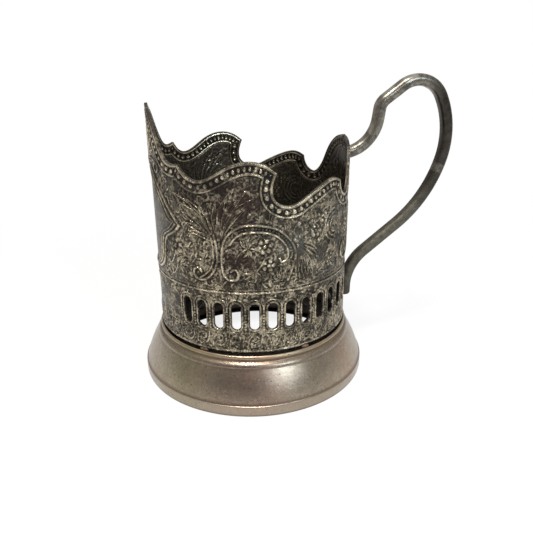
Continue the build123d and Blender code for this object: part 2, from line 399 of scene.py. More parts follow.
# %% Fan, berries and shell
fan_tips = [(70, 53.4), (71, 50.2), (70.8, 46.6), (68.5, 45), (66.6, 44.4), (65, 44.4)]
fan_tips += [(63.4, 44.8), (62, 45.6)]
berries = [(62.9, 63, 0.95), (65.6, 61.7, 1.1), (70.6, 64.7, 0.8), (74.5, 58.8, 1.0), (71, 56.4, 0.9)]
berries += [(76.2, 64.5, 0.9)]
shell_turn = np.radians(np.linspace(95, 265, 7))
spray((62.4, 57), fan_tips, 0.85, 0.4, 0.04)
for s, z, size in berries:
    press([(s, z)], size, 0.4)
rosette((69.5, 59.6), 1.5, 6, 0.75, 0.42)
rosette((73.4, 63.2), 1.3, 5, 0.66, 0.38)
for ring in (2.6, 4.0, 5.4):
    press(np.column_stack([79 + ring * np.cos(shell_turn), 60 + ring * np.sin(shell_turn)]), 0.42, 0.36)
spray((77.2, 55.4), [(76.8, 49.8), (74.6, 51), (79.4, 51)], 0.95, 0.38)
rosette((76.6, 47.6), 1.2, 6, 0.55, 0.34)
tell("fan")

# %% Scroll and palmette behind the handle
back_scroll = [(82.6, 65.4), (86.4, 66.6), (91.6, 65), (95.4, 61), (96.8, 55.6), (95.2, 50), (91, 46)]
back_scroll += [(86.4, 45.8), (84.4, 48.8), (86.2, 51.4), (88.4, 50)]
palmette_tips = [(98.6, 62), (98.4, 66.5), (99.4, 70.6), (101.4, 73.8), (104, 75.2), (HALF, 75.6)]
press(back_scroll, 0.5, 0.44, trench=0.14)
press([(s - 1.2, z - 1.1 if z > 56 else z + 1.1) for s, z in back_scroll[1:7]], 0.4, 0.34)
rosette((89, 57), 1.9, 7, 0.86, 0.42)
spray((89.4, 54), [(86.6, 53), (88, 51.8), (91.6, 52), (92.6, 54.4)], 0.75, 0.34)
spray((HALF, 56), palmette_tips, 1.05, 0.4, 0.0)
spray((99, 52), [(103, 55), (104.6, 51.4), (104, 47.6), (101, 45), (98, 45.4)], 0.85, 0.36)
tell("back")

# %% [markdown]
# Below the ornament runs the arcade. Each slot has a plain rolled rim and a hood over its round top, the
# pillars are dotted, and a low scroll fills the band underneath. The rims, hoods and dots follow from the
# distance to the nearest slot, so they are worked out for the whole map at once.

# %% Distance to the slots
SLOT_WIDTH = 3.0
SLOT_HEIGHT = 9.2
SLOT_MIDDLE = 32.9
STRAIGHT = (SLOT_HEIGHT - SLOT_WIDTH) / 2
PITCH = 10 * PER_DEGREE
FIRST = 41.5 * PER_DEGREE
COUNT = 14
DOT_PITCH = 1.05


def slot_distance(s, z):
    """Distance outside the nearest slot: to its upright middle line, clamped to its straight part, less its
    radius; with the way across from its middle and up from its middle."""
    number = np.clip(np.round((np.abs(s) - FIRST) / PITCH), 0, COUNT - 1)
    across = np.abs(s) - FIRST - number * PITCH
    up = z - SLOT_MIDDLE
    return np.hypot(across, up - np.clip(up, -STRAIGHT, STRAIGHT)) - SLOT_WIDTH / 2, across, up


def ridge(distance, middle, width, rise):
    """Rounded ridge of a given half width round the line where distance equals middle."""
    return rise * dome((distance - middle) / width)


print("slots:", 2 * COUNT, "of", SLOT_WIDTH, "by", SLOT_HEIGHT, "mm")

# %% Arcade relief
flat_s, flat_z = np.meshgrid(map_s, map_z)
slot_gap, slot_across, slot_up = slot_distance(flat_s, flat_z)
pierced = flat_s > FIRST - 4
hoods = ridge(slot_gap, 1.42, 0.34, 0.26) * (slot_up > 1.6) * pierced
to_dot = DOT_PITCH * (flat_z / DOT_PITCH - np.round(flat_z / DOT_PITCH))
pillar_dots = ridge(np.hypot(np.abs(slot_across) - PITCH / 2, to_dot), 0, 0.42, 0.24)
pillar_dots *= (np.abs(slot_up) < 5.4) * pierced
arcade = np.maximum.reduce([ridge(slot_gap, 0.38, 0.42, 0.2), hoods, pillar_dots])
for line_z, width, rise in ((20.6, 0.42, 0.26), (27.2, 0.26, 0.14), (41.2, 0.32, 0.24), (42.3, 0.22, 0.13)):
    arcade = np.maximum(arcade, ridge(flat_z, line_z, width, rise))
tall_curl = [(-2.2, 22.2), (-1.5, 25.4), (0.4, 26.2), (1.2, 24.6), (0.2, 23.8)]
low_curl = [(2.4, 26.4), (2.0, 23.6), (0.6, 22.2), (-0.6, 22.6)]
for middle in FIRST + PITCH * np.arange(-4, COUNT + 1):
    if 1 < middle < HALF - 4:
        press([(middle + s, z) for s, z in tall_curl], 0.34, 0.22, trench=0.08)
        press([(middle + s, z) for s, z in low_curl], 0.3, 0.2, trench=0.08)
height = np.maximum(height, arcade)
height *= 1 - smooth_step(flat_s, HALF - 5, HALF - 3.6) * (flat_z < 30)
tell("arcade")

# %% [markdown]
# Polish wears ridges and leaves dark tarnish in hollows. The difference between the height map and a
# blurred copy says which is which: above its surroundings is worn, below them is dark. A wide and a fine
# blur are used, so that both whole scrolls and single fibres show. The blur is a box mean by running
# sums.

# %% Wear map
def box_mean(field, reach):
    """Mean over a square window of 2 * reach + 1 samples, by differences of running sums along each axis."""
    size = 2 * reach + 1
    for axis in (0, 1):
        pad = [(0, 0), (0, 0)]
        pad[axis] = (reach + 1, reach)
        total = np.cumsum(np.pad(field, pad, mode="edge"), axis=axis)
        count = total.shape[axis]
        field = (np.take(total, range(size, count), axis) - np.take(total, range(count - size), axis)) / size
    return field


worn = 0.6 * (height - box_mean(box_mean(height, 4), 3)) + 0.9 * (height - box_mean(height, 2))


def read_map(field, s, z):
    """Bilinear reading of a map at flat points; the left half reads the right one."""
    x = np.clip(np.abs(s) / STEP, 0, field.shape[1] - 1.001)
    y = np.clip((z - BOTTOM) / STEP, 0, field.shape[0] - 1.001)
    i, j = y.astype(int), x.astype(int)
    u, v = x - j, y - i
    low = field[i, j] * (1 - u) + field[i, j + 1] * u
    return low * (1 - v) + (field[i + 1, j] * (1 - u) + field[i + 1, j + 1] * u) * v


print("wear from", round(worn.min(), 2), "to", round(worn.max(), 2))

# %% [markdown]
# The sheet becomes a solid by rolling the same flat mesh twice, at the outer and at the inner radius, and
# joining both along every free edge: the rim, the lower edge and each slot. An edge is free if no face
# uses it the other way.

# %% Rolling a flat mesh into a wall
def roll_sheet(name, s, z, quads, outer, inner, **values):
    """Points at (-r cos(s / R), r sin(s / R), z) for the outer and inner radius, walls along every free
    edge; each value is a pair, for the outside and the inside."""
    turn = s / RADIUS
    points = [np.column_stack([-r * np.cos(turn), r * np.sin(turn), z]) for r in (outer, inner)]
    count = len(s)
    edges = np.vstack([quads[:, [k, (k + 1) % 4]] for k in range(4)])
    edges = edges[edges[:, 0] != edges[:, 1]]
    free = edges[~np.isin(edges[:, 0] * count + edges[:, 1], edges[:, 1] * count + edges[:, 0])]
    walls = np.column_stack([free[:, 0], free[:, 1], free[:, 1] + count, free[:, 0] + count])
    faces = np.vstack([quads[:, ::-1], quads + count, walls])
    values["inside"] = (np.zeros(count), np.ones(count))
    values = {key: np.concatenate(pair) for key, pair in values.items()}
    return make_piece(name, "sleeve", "sleeve_metal", np.vstack(points), faces, **values)


def join_blocks(blocks):
    """Lay flat blocks together, merge the points that they share and drop those that no face uses."""
    points = np.vstack([block[0] for block in blocks])
    starts = np.cumsum([0] + [len(block[0]) for block in blocks[:-1]])
    quads = np.vstack([block[1] + start for block, start in zip(blocks, starts)])
    _, first, place = np.unique(np.round(points, 3), axis=0, return_index=True, return_inverse=True)
    quads = place.reshape(-1)[quads]
    used = np.unique(quads)
    return points[first][used], np.searchsorted(used, quads)


print("sheet:", WALL, "mm thick, inside radius", round(RADIUS - WALL, 2), "mm")

# %% [markdown]
# Round each slot the grid has to bend. There each bay is a ring of points: the outer ring is the
# rectangle of the bay, the inner one the slot, and the rings between them are blends. A bay then meets
# its neighbours point by point. A boolean cut would open the slots too, but it leaves long thin faces
# that shade badly.

# %% Slot bays
BAY_COLUMNS = 20
BAY_ROWS = 45
CELL = PITCH / BAY_COLUMNS
BAY_LOW = 26.2
BAY_HIGH = BAY_LOW + BAY_ROWS * CELL
RING_SHARES = np.array([0, 0.1, 0.24, 0.4, 0.55, 0.7, 0.85, 1])


def slot_bay(middle):
    """Rings from the slot (v = 0) to the bay's rectangle (v = 1): slot + v * (rectangle - slot)."""
    x = np.linspace(-PITCH / 2, PITCH / 2, BAY_COLUMNS + 1)
    y = np.linspace(BAY_LOW, BAY_HIGH, BAY_ROWS + 1)
    box = np.vstack([
        np.column_stack([x[:-1], np.full(BAY_COLUMNS, y[0])]),
        np.column_stack([np.full(BAY_ROWS, x[-1]), y[:-1]]),
        np.column_stack([x[:0:-1], np.full(BAY_COLUMNS, y[-1])]),
        np.column_stack([np.full(BAY_ROWS, x[0]), y[:0:-1]]),
    ])
    core_z = np.clip(box[:, 1], SLOT_MIDDLE - STRAIGHT, SLOT_MIDDLE + STRAIGHT)
    core = np.column_stack([np.zeros(len(box)), core_z])
    outward = box - core
    slot = core + outward * (SLOT_WIDTH / 2 / np.hypot(*outward.T))[:, None]
    rings = slot + RING_SHARES[:, None, None] * (box - slot)
    return rings.reshape(-1, 2) + [middle, 0], grid_quads(len(RING_SHARES), len(box), wrap=True)[:, ::-1]


def plain_block(low_s, high_s, low_z, rows, cell_height=CELL):
    """Cells from low_s to high_s in whole columns, and a number of rows upwards."""
    columns = int(round((high_s - low_s) / CELL)) + 1
    s, z = np.meshgrid(np.linspace(low_s, high_s, columns), low_z + cell_height * np.arange(rows + 1))
    return np.column_stack([s.ravel(), z.ravel()]), grid_quads(rows + 1, columns)


print("cells:", round(CELL, 3), "mm wide, bays from", BAY_LOW, "to", round(BAY_HIGH, 1), "mm")

# %% [markdown]
# Above the bays the grid is cut off under the rim. A cell stays if its middle lies more than a millimetre
# inside the rim: a middle is inside if the rim passes above it an odd number of times. The ragged cut is
# hidden by the border.

# %% Cutting the grid under the rim
def rim_is_above(s, z):
    """True where an upward line from the flat point crosses the rim an odd number of times."""
    start_s, start_z = rim_line[:-1].T
    end_s, end_z = rim_line[1:].T
    columns, place = np.unique(np.round(np.abs(s), 4), return_inverse=True)
    count = np.zeros(len(s), int)
    for k, column in enumerate(columns + 1e-4):
        hit = (start_s <= column) != (end_s <= column)
        share = (column - start_s[hit]) / (end_s[hit] - start_s[hit])
        crossing = start_z[hit] + share * (end_z[hit] - start_z[hit])
        mine = place == k
        count[mine] = (crossing > z[mine, None]).sum(1)
    return count % 2 == 1


print("under the peak is inside:", rim_is_above(np.zeros(1), np.full(1, PEAK - 5))[0])

# %% [markdown]
# Tarnish isn't even: the near side has paler and darker fields, brown stains, cool grey ones and places
# where the plate flakes off. Towards the window a wide pale field is painted window light, and the cool grey
# there is partly a painted reflection of the window. Each is a sum of soft round spots with a place, a reach
# and a gain.

# %% Stains of the near side
PALE_SPOTS = [(29, 58, 6, 0.8), (23, 50, 6, 0.4), (34, 47, 5, 0.5), (58, 46, 5, 0.5), (68, 52, 6, 0.4)]
# This wide pale spot towards the window is painted window light.
PALE_SPOTS += [(72, 62, 12, 0.5)]
DARK_SPOTS = [(46, 72, 6, -1.5), (38, 71, 5, -1.0), (44, 54, 5, -0.9), (34, 75, 5, -0.4), (53, 66, 5, -0.5)]
DARK_SPOTS += [(66, 67, 5, -0.5)]
FLAKED_SPOTS = [(29, 57, 8, 0.6), (22, 51, 7, 0.4), (36, 46, 7, 0.5), (60, 46, 7, 0.4), (50, 55, 5, 0.3)]
FLAKED_SPOTS += [(72, 58, 12, 0.45)]
BROWN_SPOTS = [(45, 71, 6, 1.0), (38, 67, 5, 0.6), (44, 54, 6, 0.7), (36, 44, 5, 0.5), (27, 74, 4, 0.4)]
# The cool grey spots from 57 to 78 mm lie where the window is mirrored: partly a painted reflection of it.
COOL_SPOTS = [(64, 57, 5, 1.0), (70, 48, 5, 0.8), (20, 46, 5, 0.9), (78, 64, 6, 0.7), (57, 55, 3, 0.8)]
COOL_SPOTS += [(8, 60, 9, 0.8)]
INSIDE_FLECK = 0.12


def soft_spots(s, z, spots):
    """Sum of gain * exp(-(d / reach)^2), d from each spot's place on the near side."""
    return sum(gain * np.exp(-((s + at) ** 2 + (z - up) ** 2) / reach**2) for at, up, reach, gain in spots)


def stains(s, z):
    """Pairs of values, outside and inside: paler or darker tone, brown, cool grey and flaked plate; the
    arcade and the lower band are paler and more flaked than the wall, and towards the window the pale tone
    is painted window light and the cool grey partly a painted reflection of the window."""
    lower = smooth_step(z, 44, 38)
    tone = soft_spots(s, z, PALE_SPOTS + DARK_SPOTS) + 0.3 * lower + 0.2 * smooth_step(z, 29, 25)
    fleck = np.clip(0.5 + 0.4 * lower + soft_spots(s, z, FLAKED_SPOTS), 0, 1)
    none = np.zeros(len(s))
    return {
        "tone": (tone, none),
        "red": (soft_spots(s, z, BROWN_SPOTS), none),
        "cool": (soft_spots(s, z, COOL_SPOTS), none),
        "fleck": (fleck, none + INSIDE_FLECK),
    }


sample = stains(np.zeros(2), np.array([60.0, 24.0]))
print("tone of the wall and the lower band:", np.round(sample["tone"][0], 2))

# %% [markdown]
# The sleeve comes in five panels, so that each mesh stays light. A panel is a lower band, a row of bays
# with plain wall beside them, and the wall up to the rim. The relief pushes the outside out, and the
# inside follows it, as in embossed sheet.

# %% Sleeve panels
RELIEF = 1.25
LOWER_ROWS = 21
RIM_MARGIN = 1.15
FRONT_EDGE = 46.5
SIDE_EDGE = 136.5
SEAM_EDGE = 179.66


def sleeve_panel(name, start, end, bays):
    """A panel between two angles: lower band, bays or plain wall, and the wall up to the rim."""
    low_s, high_s = start * PER_DEGREE, end * PER_DEGREE
    blocks = [plain_block(low_s, high_s, BOTTOM, LOWER_ROWS, (BAY_LOW - BOTTOM) / LOWER_ROWS)]
    cuts = [low_s] + [edge for bay in bays for edge in (bay - PITCH / 2, bay + PITCH / 2)] + [high_s]
    for left, right in zip(cuts[::2], cuts[1::2]):
        if right - left > CELL / 2:
            blocks.append(plain_block(left, right, BAY_LOW, BAY_ROWS))
    blocks += [slot_bay(bay) for bay in bays]
    upper, quads = plain_block(low_s, high_s, BAY_HIGH, int((PEAK + 0.1 - BAY_HIGH) / CELL))
    middle = upper[quads].mean(1)
    keep = (rim_distance(*middle.T) > RIM_MARGIN) & rim_is_above(*middle.T)
    blocks.append((upper, quads[keep]))
    points, quads = join_blocks(blocks)
    s, z = points.T
    to_rim = rim_distance(s, z)
    ground = smooth_step(to_rim, 3.7, 4.5)
    give_way = 0.55 * smooth_step(to_rim, 4.35, 3.95)
    rise = RELIEF * read_map(height, s, z) * ground
    brink = smooth_step(-slot_distance(s, z)[0], -0.25, 0.0)
    wear = read_map(worn, s, z) * ground * (1 - brink) - 0.14 * brink
    rolled = 0.12 * brink
    outer = RADIUS + rise - rolled
    inner = RADIUS - WALL + 0.6 * rise + rolled + give_way
    return roll_sheet(name, s, z, quads, outer, inner, wear=(wear, 0.6 * wear), **stains(s, z))


print("panels meet at", FRONT_EDGE, "and", SIDE_EDGE, "degrees from the front")

# %% Five panels
bay_middles = FIRST + PITCH * np.arange(COUNT)
panels = [
    sleeve_panel("sleeve_front", -FRONT_EDGE, FRONT_EDGE, [-FIRST, FIRST]),
    sleeve_panel("sleeve_side_far", FRONT_EDGE, SIDE_EDGE, bay_middles[1:10]),
    sleeve_panel("sleeve_side_near", -SIDE_EDGE, -FRONT_EDGE, -bay_middles[9:0:-1]),
    sleeve_panel("sleeve_back_far", SIDE_EDGE, SEAM_EDGE, bay_middles[10:]),
    sleeve_panel("sleeve_back_near", -SEAM_EDGE, -SIDE_EDGE, -bay_middles[:9:-1]),
]

# %% [markdown]
# The border is a profile carried along the rim: a rolled edge, a channel with a row of beads, and an
# inner ridge. It is laid out by the distance from the rim, and where the rim comes to a point the two
# sides are mitred: a depth only counts while the point that it reaches is still nearest to its own place
# on the rim. A bevelled curve could carry the profile, but would fold over itself in the nick.

# %% Border profile
BORDER = 4.5
MITRE_STEP = 0.1
THINNEST = 0.04
SEAM_GAP = 0.2
BEAD_PITCH = 1.95
edge_shares = [0, 0.03, 0.08, 0.13, 0.18, 0.22, 0.26]
depth_shares = np.r_[edge_shares, np.linspace(0.3, 0.68, 9), np.linspace(0.71, 1, 9)]


def border_strip(part):
    """Flat points rim + d * inward for depths d up to the mitre, the way along the rim and the depth."""
    ahead = np.gradient(part, axis=0)
    ahead /= np.hypot(*ahead.T)[:, None]
    inward = np.column_stack([ahead[:, 1], -ahead[:, 0]])
    deepest = np.full(len(part), BORDER)
    for d in np.arange(BORDER, 0, -MITRE_STEP):
        reached = part + d * inward
        outside = (reached[:, 0] > HALF) | (reached[:, 0] < 0)
        strays = (rim_distance(*reached.T) < d - 0.06) & ~outside
        deepest = np.where(strays, d - MITRE_STEP, deepest)
    depth = depth_shares[:, None] * np.maximum(deepest, THINNEST)
    return part + depth[..., None] * inward, np.broadcast_to(way_along(part), depth.shape), depth


def border_profile(way, depth):
    """Height over the sheet: edge roll, beads at an even pitch in a channel, inner ridge; and how far the
    foot of the profile sinks into the wall."""
    pitch = way.max() / round(way.max() / BEAD_PITCH)
    along = (way / pitch - np.floor(way / pitch) - 0.5) * pitch
    bead = dome(np.hypot(along / 0.66, (depth - 2.1) / 0.86), 0.6)
    roll = dome((depth - 0.5) / 0.52, 0.5)
    inner_ridge = dome((depth - 3.6) / 0.45, 0.6)
    return 0.13 + 0.32 * np.maximum(roll, inner_ridge) + 0.4 * bead, 0.3 * smooth_step(depth, 4.1, BORDER)


print("border:", len(depth_shares), "points deep, a bead every", BEAD_PITCH, "mm")

# %% Rim border
strip_points, strip_quads, strip_values = [], [], []
start = 0
for part in rim_parts:
    points, way, depth = border_strip(part)
    rise, sink = border_profile(way, depth)
    # Painted highlight: the very edge of the rim is made paler, as a bright line of light, through its wear
    # value.
    edge_wear = 0.07 * smooth_step(depth, 0.4, 0.1)
    for side in (1, -1):
        strip_points.append(points.reshape(-1, 2) * [side, 1])
        strip_quads.append(grid_quads(*depth.shape)[:, ::-side] + start)
        strip_values.append(np.stack([rise.ravel(), sink.ravel(), edge_wear.ravel()]))
        start += depth.size
border_s, border_z = np.vstack(strip_points).T
border_s = np.clip(border_s, -HALF + SEAM_GAP, HALF - SEAM_GAP)
rise, sink, edge_wear = np.hstack(strip_values)
wear = 1.15 * (rise - 0.33) + edge_wear
# On the inside the border's wear is made stronger and lifted by 0.06: a painted highlight on the rolled edge
# and the beads, fading out towards the back.
gleam = 1 - 0.8 * smooth_step(np.abs(border_s), 88, 94)
rim_border = roll_sheet(
    "rim_border", border_s, border_z, np.vstack(strip_quads),
    RADIUS + rise - sink, RADIUS - WALL - 0.08 + 0.8 * rise + sink,
    wear=(wear, gleam * (1.3 * wear + 0.06)), **stains(border_s, border_z),
)

# %% [markdown]
# The foot was spun from one sheet on a lathe, so it is one profile turned about the axis: a flat deck
# with a hole, a bead under the sleeve, a groove, a swelling flare and a band that turns in underneath.
# The profile is a closed line of radius and height. A Screw modifier could turn it, but a grid of points
# can also waver and carry the stains.

# %% Profile of the foot
def arc_between(start, end, bulge, count):
    """Points from start to end on a parabola that leaves the straight line by bulge at its middle."""
    start, end = np.asarray(start, float), np.asarray(end, float)
    t = np.linspace(0, 1, count)[:, None]
    way = end - start
    side = np.array([way[1], -way[0]]) / np.hypot(*way)
    return start + t * way + 4 * bulge * t * (1 - t) * side


def quarter(centre, radius, start, end, count):
    """Points on a circle between two angles in degrees."""
    a = np.radians(np.linspace(start, end, count))
    return np.column_stack([centre[0] + radius * np.cos(a), centre[1] + radius * np.sin(a)])


HOLE = 21.5
SEAT = 19.3
BAND = 41.5
flare = arc_between((35.45, 16.1), (41.05, 4.05), -0.5, 40)
profile = np.vstack([
    [(HOLE, 18.5), (HOLE, 19.15)],
    quarter((HOLE + 0.15, 19.15), 0.15, 180, 90, 4)[1:],
    np.column_stack([np.linspace(22.5, 32.3, 10), np.full(10, SEAT)]),
    quarter((32.4, 19.1), 0.2, 90, 0, 4),
    [(32.7, 19.0), (33.4, 19.0)],
    quarter((34.25, 18.2), 0.8, 90, -35, 12),
    quarter((35.3, 17.1), 0.5, 150, 225, 6),
    arc_between((34.95, 16.75), flare[4], -0.28, 12)[1:],
    flare[5:],
    arc_between((41.05, 4.05), (41.42, 3.75), 0.06, 5)[1:],
    np.column_stack([np.full(7, BAND), np.linspace(3.45, 0.75, 7)]),
    quarter((BAND - 0.6, 0.6), 0.6, 0, -90, 8)[1:],
    [(39.6, 0.0), (38.1, 0.0)],
    quarter((38.1, 0.4), 0.4, 270, 90, 7)[1:],
    [(39.4, 0.8), (40.3, 0.85), (40.5, 1.5), (40.45, 3.6)],
    arc_between((40.3, 4.1), (34.65, 16.1), 0.5, 24),
    [(34.5, 17.4), (34.2, 18.1), (33.5, 18.2), (31.9, 18.2), (31.7, 18.45)],
])
print("profile of the foot:", len(profile), "points")

# %% [markdown]
# The profile is turned in 300 steps, with a waver of a few hundredths of a millimetre, because no old
# sheet is perfectly round. The foot's stains lie round the axis, so they are soft patches at chosen
# angles. Round the front the mauve patch facing the viewer and the olive one to its left are partly
# painted reflections of the room, dark behind the viewer and lighter to the left.

# %% Spun foot
TURNS = 300
GROOVE_RADIUS = 34.55
spin = 2 * np.pi * np.arange(TURNS) / TURNS
waver = 1 - 0.0006 * (1 + np.sin(3 * spin + 0.7) * np.sin(5 * spin))
foot_r = profile[:, :1] * waver
foot_z = np.broadcast_to(profile[:, 1:], foot_r.shape)
points = np.stack([foot_r * np.cos(spin), foot_r * np.sin(spin), foot_z], -1).reshape(-1, 3)
first = np.arange(TURNS)
last = first + (len(profile) - 1) * TURNS
closing = np.column_stack([last, np.roll(last, -1), np.roll(first, -1), first])
quads = np.vstack([grid_quads(len(profile), TURNS, wrap=True), closing])[:, ::-1]
number = np.arange(len(profile))
outer_start = np.argmax((profile[:, 0] > GROOVE_RADIUS) & (number > 10))
outer_end = np.argmax((profile[:, 1] <= 0.0) & (number > 20))
# The inside and underside of the foot: its metal paints them near black as shade.
hidden = np.repeat(((number < outer_start) | (number > outer_end)).astype(float), TURNS)
degrees = np.tile(np.degrees(spin), len(profile))
# Mauve and olive: stains round the back, and round the front partly painted reflections of the room.
mauve = lobe(degrees, 258, 17) + 0.8 * lobe(degrees, 95, 30) + 0.5 * lobe(degrees, 318, 9)
olive = lobe(degrees, 222, 14) + 0.7 * lobe(degrees, 150, 18) + 0.6 * lobe(degrees, 20, 22)
run = np.repeat(way_along(profile), TURNS)
foot = make_piece(
    "foot_shell", "base", "base_metal", points, quads, run=run, hidden=hidden, mauve=mauve, olive=olive,
)

# %% [markdown]
# The handle is a rod of rounded section, a little flatter towards the hand, bent cold. Its path is a
# chain of arcs and straight runs, and the section is carried along it, always turned so that the flatter
# side faces the hand.

# %% Path of the rod
ROD_FOOT = (36.65, 23.0)
FIRST_RUN = 3.1
ROD_SPACING = 0.4
rod_bends = [(18.0, -51.7, 15.9), (47.0, 35.2, 0.0), (31.1, 44.4, 0.0)]
rod_bends += [(10.2, 98.1, 7.5), (4.5, 46.7, 3.4), (13.3, -73.0, 9.0)]


def rod_path(x, z):
    """Centre points and headings of a rod that starts upwards from a point and takes each bend in turn: an
    arc of a radius and a turn in degrees, then a straight run."""
    heading = 90.0
    path = [np.column_stack([np.full(2, x), [z, z + FIRST_RUN], np.full(2, heading)])]
    z += FIRST_RUN
    for radius, bend, run in rod_bends:
        reach = math.copysign(radius, bend)
        steps = max(3, int(radius * math.radians(abs(bend)) / ROD_SPACING))
        turn = np.radians(heading + np.linspace(0, bend, steps))
        arc_x = x + reach * (np.sin(turn) - np.sin(turn[0]))
        arc_z = z - reach * (np.cos(turn) - np.cos(turn[0]))
        path.append(np.column_stack([arc_x, arc_z, np.degrees(turn)]))
        x, z, heading = path[-1][-1]
        if run:
            t = np.linspace(0, run, max(2, int(run / ROD_SPACING)))
            ahead = math.radians(heading)
            line = [x + t * math.cos(ahead), z + t * math.sin(ahead), np.full(len(t), heading)]
            path.append(np.column_stack(line))
            x, z = path[-1][-1, :2]
    path = np.vstack(path)
    return path[np.r_[True, np.diff(way_along(path[:, :2])) > 1e-6]]


def end_cap(sides):
    """Strips straight across a closed ring of an even number of points, as corner numbers."""
    one = np.arange(sides // 2 - 1)
    return np.column_stack([one, one + 1, sides - 2 - one, sides - 1 - one])


path = rod_path(*ROD_FOOT)
rounding = path[0] + np.array([(0, 0.2, 0), (0, 0.5, 0), (0, 1.0, 0)])
path = np.vstack([path[:1], rounding, path[1:]])
path = path[path[:, 0] > RADIUS + 1.4]
print("path of the rod:", len(path), "points")

# %% [markdown]
# At its foot the rod's end is a little rounded off. The neck is cut to the curve of the sleeve: its last
# ring slides along the rod until it meets the tube. A bevelled curve would do for the rod, but not for
# this cut.

# %% Bent rod
ROD_DEPTH = 4.18
ROD_WIDTH = 4.58
HAND_CORNER = 1.6
BACK_CORNER = 2.0
hand_x, hand_y = ROD_DEPTH / 2 - HAND_CORNER, ROD_WIDTH / 2 - HAND_CORNER
back_x, back_y = ROD_DEPTH / 2 - BACK_CORNER, ROD_WIDTH / 2 - BACK_CORNER
section = np.vstack([
    quarter((-hand_x, -hand_y), HAND_CORNER, 180, 270, 8),
    quarter((back_x, -back_y), BACK_CORNER, 270, 360, 12),
    quarter((back_x, back_y), BACK_CORNER, 0, 90, 12),
    quarter((-hand_x, hand_y), HAND_CORNER, 90, 180, 8),
])
heading = np.radians(path[:, 2:])
run = way_along(path[:, :2])
ease = 1 - 0.2 * np.clip(1 - run, 0, 1)[:, None] ** 2
rod_x = path[:, :1] + ease * section[:, 0] * np.sin(heading)
rod_z = path[:, 1:2] - ease * section[:, 0] * np.cos(heading)
points = np.stack([rod_x, ease * section[:, 1], rod_z], -1)
along = np.array([math.cos(heading[-1, 0]), 0, math.sin(heading[-1, 0])])
neck = points[-1]
slide = ((np.sqrt((RADIUS + 0.25) ** 2 - neck[:, 1] ** 2) - neck[:, 0]) / along[0])[:, None] * along
points = np.concatenate([points, [neck + 0.5 * slide, neck + slide]])
rings, sides = points.shape[:2]
cap = end_cap(sides)
quads = np.vstack([grid_quads(rings, sides, wrap=True), cap[:, ::-1], cap + (rings - 1) * sides])
run = np.repeat(np.r_[run, run[-1] + 1, run[-1] + 2], sides)
back = np.tile(section[:, 0], rings)
handle = make_piece("handle_rod", "handle", "handle_metal", points.reshape(-1, 3), quads, run=run, back=back)
print("rod:", round(run.max(), 1), "mm long")

# %% [markdown]
# Soft solder sits in drops between the deck and the lower edge of the sleeve. A drop is a ball pressed
# flat: the corners of a sphere are pulled out a little, and a slow wave keeps the drops from being alike.
# Metaballs would be quicker to set, but their mesh can't be chosen point by point.

# %% Solder drops
DROPS = 6
DROP_RINGS = 15
DROP_SIDES = 28
DROP_PLACE = (33.8, 19.5)
DROP_HALF = (0.75, 1.5, 0.58)
FIRST_DROP = 51.5


def pulled(value):
    """A wave from -1 to 1 with fuller sides: its size to the power 0.8."""
    return np.sign(value) * np.abs(value) ** 0.8


def solder_drop(number):
    """Superellipsoid, lumpy by a few waves, set on the deck at an angle; its rings stop just short of the
    poles, where a small flat cap closes them."""
    rings = np.linspace(-0.46, 0.46, DROP_RINGS) * np.pi
    u, v = np.meshgrid(rings, 2 * np.pi * np.arange(DROP_SIDES) / DROP_SIDES, indexing="ij")
    lump = (1 + 0.08 * np.sin(3 * v + 1.7 * number) * np.cos(u)) * pulled(np.cos(u))
    radial = DROP_PLACE[0] + DROP_HALF[0] * lump * pulled(np.cos(v))
    across = DROP_HALF[1] * lump * pulled(np.sin(v))
    up = DROP_PLACE[1] + DROP_HALF[2] * pulled(np.sin(u))
    turn = math.radians(FIRST_DROP + number * 360 / DROPS)
    c, s = math.cos(turn), math.sin(turn)
    return np.stack([c * radial - s * across, s * radial + c * across, up], -1).reshape(-1, 3)


cap = end_cap(DROP_SIDES)
last_ring = (DROP_RINGS - 1) * DROP_SIDES
one_drop = np.vstack([grid_quads(DROP_RINGS, DROP_SIDES, wrap=True), cap[:, ::-1], cap + last_ring])
points = np.vstack([solder_drop(k) for k in range(DROPS)])
quads = np.vstack([one_drop + DROP_RINGS * DROP_SIDES * k for k in range(DROPS)])
drops = make_piece("solder_drops", "base_solder_spots", "solder", points, quads)

# %% [markdown]
# Materials are small networks of nodes. A class keeps them readable: it holds a tree and adds to it a
# node with its inputs, a blended colour, a remapped value or a bit of arithmetic.

